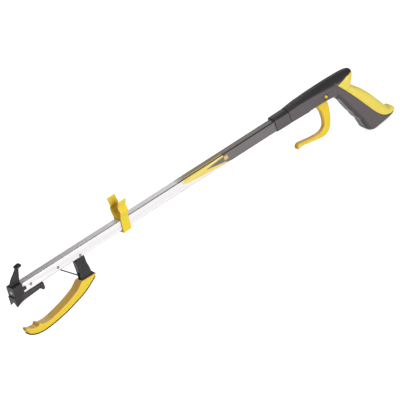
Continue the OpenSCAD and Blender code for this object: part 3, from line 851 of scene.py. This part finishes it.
# its upper side, from the rear forwards, and the raised end at the tip
JAW_INNER = spline([
    (107.4, -40.8), (102.2, -44.7), (94.9, -49.8), (79.1, -55.9), (64.4, -60.1), (51, -63.2),
    (43.5, -64.6), (33.5, -64.7), (28, -63.9)])
JAW_TOOTH = np.array([
    (27.0, -62.2), (25.2, -60.8), (23.4, -60.8), (22.4, -61.6), (21.3, -63.2), (19.8, -63.8),
    (15.8, -63.4), (11.4, -62.2), (7.2, -60.2), (5.2, -58.4), (3.2, -58.2)])
JAW_WIDTH = ([0, 2, 5, 16, 30, 140], [3.2, 3.8, 5.4, 7.3, 8.3, 8.3])  # x, half width
# the upright block that holds the pivot
PIVOT_BLOCK = [
    (109.6, -12), (112.8, -8.2), (115.0, -2.9), (118.6, -0.9), (122.1, -2.9), (125.6, -10),
    (126, -20), (127.6, -27), (128, -29), (128.8, -36), (132.4, -40.4), (132.6, -41.8),
    (130.8, -43), (124, -47.5), (113, -49.5), (109.6, -44), (110.4, -35)]
# recess in the block's right side
PIVOT_RECESS = [(113.9, -5), (118.6, -0.3), (123.3, -5), (123.2, -13), (115.8, -13)]
pivot_axis = centre_xz("jaw_pivot_pin")


def offset_outer(distance):
    """The arm's underside moved outwards by distance."""
    along = np.gradient(JAW_OUTER, axis=0)
    normal = np.stack([-along[:, 1], along[:, 0]], 1)
    return JAW_OUTER + distance * normal / np.linalg.norm(normal, axis=1)[:, None]


def underside_strip(outward, inward, stop):
    """Outline of a strip along the underside, over its points 2 to stop."""
    return np.concatenate([offset_outer(outward)[2:stop], offset_outer(inward)[2:stop][::-1]])


def build_jaw():
    arm_outline = np.concatenate([offset_outer(-0.7), JAW_TOOTH[::-1], JAW_INNER[::-1]])
    spine_outline = underside_strip(0.6, -3.2, stop=50)
    backing_outline = underside_strip(0.85, -0.72, stop=51)

    axes, (x, y, z) = grid((-0.5, -9.4, -77.5), (136, 9.4, -39), grid_step(0.6))
    arm = plate(side_outline(x, z, arm_outline), y, np.interp(x, *JAW_WIDTH), rounding=1.0)
    # room for the core's spine and block
    spine = side_outline(x, z, spine_outline)
    arm = cut(arm, plate(spine - 0.1, y, half=1.7, rounding=0.1))
    block = side_outline(x, z, PIVOT_BLOCK)
    arm = cut(arm, plate(block - 0.08, y, half=4.88, rounding=0.1))
    field_piece("jaw_arm_body", arm, axes, "yellow_plastic", "jaw", "jaw_arm")

    axes, (x, y, z) = grid((3, -9.2, -77.8), (136.4, 9.2, 0.2), grid_step(0.5))
    core = plate(side_outline(x, z, PIVOT_BLOCK), y, half=4.8, rounding=0.8)
    spine = plate(side_outline(x, z, spine_outline), y, half=1.6, rounding=0.3)
    core = np.minimum(core, spine)
    backing = side_outline(x, z, backing_outline)
    core = np.minimum(core, plate(backing, y, np.interp(x, *JAW_WIDTH), rounding=0.3))
    # the cord's pocket, the pivot hole and the recess
    pocket = rect(x, z, half=(8.0, 5.2), centre=(110, -34.6))
    core = cut(core, plate(pocket, y, half=1.6, rounding=0.3))
    core = cut(core, distance_from_axis(x, z, pivot_axis) - 1.55)
    core = cut(core, meet(side_outline(x, z, PIVOT_RECESS), 1.5 - y))
    field_piece("jaw_core_body", core, axes, "black_plastic", "jaw", "jaw_core")


build_jaw()

# ------------------------------------------------------------ stick clip
# one half of the clip's (|y|, z) shape: the flared lip, and the mouth between the lips
CLIP_LIP = [(6.6, 24.4), (9.9, 24.4), (9.7, 27.2), (11.2, 30.9), (13.6, 36.0), (13.3, 37.2),
            (12.0, 37.4), (11.1, 35.7), (8.7, 30.4)]
CLIP_MOUTH = [(-1, 19), (0, 19.7), (7.25, 26.6), (8.8, 30.6), (11.3, 36.0), (12.1, 40),
              (12.1, 60), (-1, 60)]


def build_clip():
    """A collar round the shaft with an open ring above it, leaning slightly back."""
    bore_width, bore_height = 6.5, 8.1  # half sizes of the shaft's hole
    ring_z, ring_radius = 19.7, 10.0
    lean = 0.05
    outside = bore_width + 2.2
    low, high = box_mm("stick_clip")
    axes, (x, y, z) = grid(low - (2.0, 1, 1), high + (3.0, 1, 1), grid_step(0.4))
    out_y, flat_z = np.abs(y[0]), z[0]
    collar = smooth_meet(out_y - outside, np.abs(flat_z + 1.0) - (bore_height + 3.2), blend=3.0)
    collar = np.minimum(collar, rect(out_y, flat_z, half=(outside, 6.2), centre=(0, 4)))
    web = rect(out_y, flat_z, half=(bore_width + 1.8, 6), centre=(0, 9))
    from_ring = np.hypot(out_y, flat_z - ring_z)
    profile = smooth_join(collar, web, blend=1.0)
    profile = smooth_join(profile, from_ring - (ring_radius + 2.0), blend=2.5)
    profile = smooth_join(profile, polygon_distance(out_y, flat_z, CLIP_LIP), blend=1.2)
    profile = cut(profile, from_ring - ring_radius)
    profile = cut(profile, rect(out_y, flat_z, half=(bore_width, bore_height)))
    profile = cut(profile, polygon_distance(out_y, flat_z, CLIP_MOUTH))
    along = x - (low[0] + high[0]) / 2 - lean * (z - 1.0)
    field = plate(profile[None], along, (high[0] - low[0]) / 2, rounding=0.7)
    field_piece("stick_clip_body", field, axes, "clip_plastic", "clip", "stick_clip")


build_clip()

# ------------------------------------------------------------ end cap at the tip
# claw below the cap: its side (x, z) and its notched end view (y, z)
CLAW_SIDE = [(-1.5, -6), (-1.5, -20), (-0.6, -20.3), (3.5, -18.6), (11, -16.2), (13.5, -9),
             (13.5, -6)]
CLAW_END = [(-8.1, -5), (-8.1, -20.4), (-6.9, -20.4), (-0.7, -12.3), (0.7, -12.3),
            (6.9, -20.4), (8.1, -20.4), (8.1, -5)]
# curved horn above the cap (x, z): front edge upwards, rear edge downwards
HORN_FRONT = [(1.3, 7.5), (2.6, 13), (6.2, 18), (11.5, 23), (17, 28.2), (18.6, 30.6)]
HORN_REAR = [(23.6, 30.6), (21.6, 24), (19.4, 16), (17.6, 7.5)]


def build_cap():
    magnet_low, magnet_high = box_mm("tip_magnet")
    magnet_radius = (magnet_high[1] - magnet_low[1]) / 2
    axes, (x, y, z) = grid((-2.6, -9.8, -21.6), (28.6, 9.8, 34.6), grid_step(0.4))
    section = smooth_meet(np.abs(y) - 8.6, np.abs(z) - 9.7, blend=3.2)
    field = smooth_meet(section, meet(-x, x - 16.5), blend=1.0)
    claw_end = polygon_distance(y[0], z[0], CLAW_END)[None]
    claw = smooth_meet(side_outline(x, z, CLAW_SIDE), claw_end, blend=0.5)
    field = smooth_join(field, claw, blend=0.8)
    # a tab on each side, reaching back past the cap
    tabs = meet(rect(x, z, half=(6.0, 2.5), centre=(15.6, -0.5)),
                np.abs(np.abs(y) - 7.3) - 0.85)
    field = smooth_join(field, tabs, blend=0.6)
    horn = side_outline(x, z, np.concatenate([spline(HORN_FRONT), spline(HORN_REAR)]))
    field = smooth_join(field, plate(horn, y, half=1.75, rounding=0.7), blend=1.6)
    # tilted flat head across the top of the horn
    tilt = math.radians(-8)
    head_x, head_z = x - 22.4, z - 31
    tilted_x = head_x * math.cos(tilt) - head_z * math.sin(tilt)
    tilted_z = head_x * math.sin(tilt) + head_z * math.cos(tilt)
    rounded_plan = np.hypot(np.maximum(np.abs(tilted_x) - 2.7, 0),
                            np.maximum(np.abs(y) - 2.4, 0)) - 2.3
    head = smooth_meet(rounded_plan, np.abs(tilted_z) - 1.5, blend=0.9)
    field = smooth_join(field, head, blend=1.0)
    # hollow for the tube, magnet pocket and room for the pad
    field = cut(field, meet(rect(y, z, half=(6.36, 7.96)), 2.5 - x))
    field = cut(field, meet(np.hypot(y, z) - magnet_radius - 0.08, x - 2.05))
    field = cut(field, meet(11.2 - x, np.abs(z + 13.5) - 5.5))
    field_piece("end_cap_body", field, axes, "black_plastic", "frame", "end_cap")


build_cap()

# ------------------------------------------------------------ refined CAD pieces
# CAD node, new name, look, body it rides, bevel in mm, bevel segments
REFINED = [
    ("fixed_jaw_pad", "serrated_pad", "pad_rubber", "frame", 0.3, 2),
    ("tip_magnet", "magnet_disc", "magnet", "frame", 0.3, 3),
    ("cap_rivet", "cap_rivet_body", "pins", "frame", 0.25, 2),
    ("jaw_pivot_pin", "jaw_pivot_body", "pins", "frame", 0.25, 2),
    ("front_cord_pin", "cord_pin_front_body", "pins", "frame", 0.25, 2),
    ("rear_cord_pin", "cord_pin_rear_body", "pins", "frame", 0.25, 2),
    ("shaft_pin", "shaft_pin_body", "pins", "frame", 0.25, 2),
    ("jaw_cord_ferrule", "jaw_ferrule_body", "pins", "jaw", 0.25, 2),
    ("trigger_cord_ferrule", "trigger_ferrule_body", "pins", "trigger", 0.25, 2),
    ("handle_screws", "handle_screws_body", "screws", "frame", 0.2, 2),
    ("trigger_pin", "trigger_pin_body", "yellow_plastic", "trigger", 0.5, 3),
    ("shaft_label", "label_film", "label", "frame", 0, 2),
    ("shaft_tube", "shaft_tube_body", "shaft", "frame", 0.25, 2),
]
for row in REFINED:
    refine(*row)

# ------------------------------------------------------------ cord and spring
CORD_WRAP = 2.45  # radius of the cord's centre line round a pin
JAW_SEAT = np.array([110.0, -34.3])  # (x, z) where the cord enters the jaw
JAW_CORD_END = np.array([115.8, -37.6])
LAY = dict(twist=1.1, lobes=4)


def straight(start, end, steps):
    """Points in the plane y = 0, from one (x, z) to another."""
    points = [start + (end - start) * k / steps for k in range(steps + 1)]
    return [(point[0], 0, point[1]) for point in points]


def round_pin(pin, angles):
    return [(pin[0] + CORD_WRAP * math.cos(a), 0, pin[1] + CORD_WRAP * math.sin(a))
            for a in angles]


def tangent_slope(start, end, pin_to_line=CORD_WRAP):
    """Angle of the line between start and end, swung to run pin_to_line off one of them."""
    run = end - start
    return math.atan2(run[1], run[0]) + math.asin(pin_to_line / np.linalg.norm(run))


def build_jaw_cord():
    """Over the front pin, round its front and down to the jaw."""
    pin = centre_xz("front_cord_pin")
    turn = tangent_slope(pin, JAW_SEAT) + math.pi
    path = [(pin[0] + 8 - i, 0, pin[1] + CORD_WRAP) for i in range(8)]
    path += round_pin(pin, [math.pi / 2 + turn * k / 9 for k in range(10)])
    leave = np.array([path[-1][0], path[-1][2]])
    path += straight(leave, JAW_SEAT, 60)[1:]
    path += straight(JAW_SEAT, JAW_CORD_END, 6)[1:]
    cord = sweep("jaw_cord_run", path, 0.95, "cord", None, "jaw_cord", sides=16, **LAY)
    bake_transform(cord)


def build_rear_cords():
    """The run inside the shaft, the bend round the rear pin and the trigger's end."""
    low, high = box_mm("pull_cord")
    cord_z = (low[2] + high[2]) / 2
    run = straight(np.array([low[0] + 3, cord_z]), np.array([high[0], cord_z]), 300)
    sweep("pull_cord_run", run, 0.84, "cord", "shaft_line", "pull_cord", sides=10, **LAY)

    pin = centre_xz("rear_cord_pin")
    start = np.array([521.4 + shift, cord_z])
    touch = tangent_slope(start, pin) + math.pi / 2
    arc = round_pin(pin, [touch - k * 0.13 for k in range(10)])
    bend = straight(start, np.array([arc[0][0], arc[0][2]]), 12)[:-1] + arc
    sweep("rear_bend_run", bend, 0.8, "cord", "frame", "rear_cord_bend", **LAY)

    low, high = box_mm("trigger_cord")
    top_front = np.array([low[0] + 0.7, high[2] - 0.4])
    bottom_rear = np.array([high[0] - 0.7, low[2] + 0.4])
    sweep("trigger_cord_run", straight(top_front, bottom_rear, 6), 0.72, "cord", "trigger",
          "trigger_cord", **LAY)


def build_spring():
    """A leg, 2.75 turns round the jaw's pivot, and a short tail."""
    turns, coil_radius, points = 2.75, 2.6, 64
    first_y, travel_y = 4.0, 1.7
    wire = [(108.6, 4.0, 5.8), (112.2, 4.0, 1.2), (114.8, 4.0, -2.2)]
    for i in range(points + 1):
        angle = math.radians(205) - 2 * math.pi * turns * i / points
        wire.append((pivot_axis[0] + coil_radius * math.cos(angle),
                     first_y - travel_y * i / points,
                     pivot_axis[1] + coil_radius * math.sin(angle)))
    wire += [(120.3, 2.25, -7.8), (119.7, 2.25, -9.1)]
    sweep("return_spring_wire", wire, 0.42, "spring", "frame", "jaw_spring")


build_jaw_cord()
build_rear_cords()
build_spring()

# ------------------------------------------------------------ stage, light, camera
low_corner, high_corner = [Vector(corner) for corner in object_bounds()]
middle = (low_corner + high_corner) / 2


def build_camera():
    """Orthographic view from the front left, a little above."""
    right = Vector((0.7608, -0.5899, -0.2690)).normalized()
    up = Vector((0.4808, 0.2352, 0.8450))
    up = (up - right * up.dot(right)).normalized()
    back = right.cross(up)
    roll = 0.0068
    right, up = (right * math.cos(roll) - up * math.sin(roll),
                 right * math.sin(roll) + up * math.cos(roll))
    lens = bpy.data.cameras.new("camera")
    lens.type = "ORTHO"
    lens.ortho_scale = 0.5479
    lens.clip_end = 20
    camera = link(bpy.data.objects.new("camera", lens))
    turn = Matrix((right, up, back)).transposed().to_4x4()
    place = right * 0.25886 + up * 0.12785 + back * 4.0
    camera.matrix_world = Matrix.Translation(place) @ turn
    bpy.context.scene.camera = camera


def build_floor():
    """Floor that glows white to the camera and in reflections, and is grey to other rays."""
    bm = bmesh.new()
    bmesh.ops.create_grid(bm, x_segments=8, y_segments=8, size=14)
    mesh = bpy.data.meshes.new("floor")
    bm.to_mesh(mesh)
    bm.free()
    floor = link(bpy.data.objects.new("floor", mesh))
    floor.location = (0.3, 0, low_corner.z - 0.0004)
    mat = bpy.data.materials.new("mat_floor")
    mat.use_nodes = True
    graph = Graph(mat)
    rays = graph.node("LightPath").outputs
    seen = graph.largest(rays["Is Camera Ray"], rays["Is Glossy Ray"])
    settings = {"Base Color": graph.mix(seen, (0.34, 0.34, 0.35), (0.93, 0.93, 0.93)),
                "Roughness": 0.9, "Specular IOR Level": 0.1,
                "Emission Color": (1, 1, 1, 1), "Emission Strength": graph.times(seen, 0.72)}
    shader = graph.find("BSDF_PRINCIPLED")
    for socket, value in settings.items():
        graph.feed(shader.inputs[socket], value)
    mesh.materials.append(mat)


def build_world():
    """Soft warm surround, brightest towards -y."""
    world = bpy.data.worlds.new("world")
    bpy.context.scene.world = world
    world.use_nodes = True
    graph = Graph(world)
    direction = graph.node("TexCoord").outputs["Generated"]
    facing = graph.dot(direction, (-0.2, -0.95, 0.02))
    background = graph.nodes["Background"]
    background.inputs[0].default_value = (1, 0.985, 0.97, 1)
    strength = graph.ramp(facing, start=-0.2, end=0.95, low=0.17, high=0.56)
    graph.feed(background.inputs[1], strength)


def area_light(name, offset, size, power):
    """Square light at offset from the tool's middle, aimed at it."""
    light = bpy.data.lights.new(name, "AREA")
    light.size = size
    light.energy = power
    lamp = link(bpy.data.objects.new(name, light))
    position = middle + Vector(offset)
    lamp.location = position
    lamp.rotation_euler = (middle - position).to_track_quat("-Z", "Y").to_euler()


build_camera()
build_floor()
build_world()
area_light("key", offset=(-0.1, -2.0, 0.45), size=1.1, power=25.5)
area_light("top", offset=(0.1, 0.1, 2.0), size=0.9, power=6.0)
area_light("back", offset=(0.9, 1.3, 1.0), size=1.0, power=3)
view = bpy.context.scene.view_settings
view.view_transform = "Standard"
view.look = "None"
view.exposure = 0.0
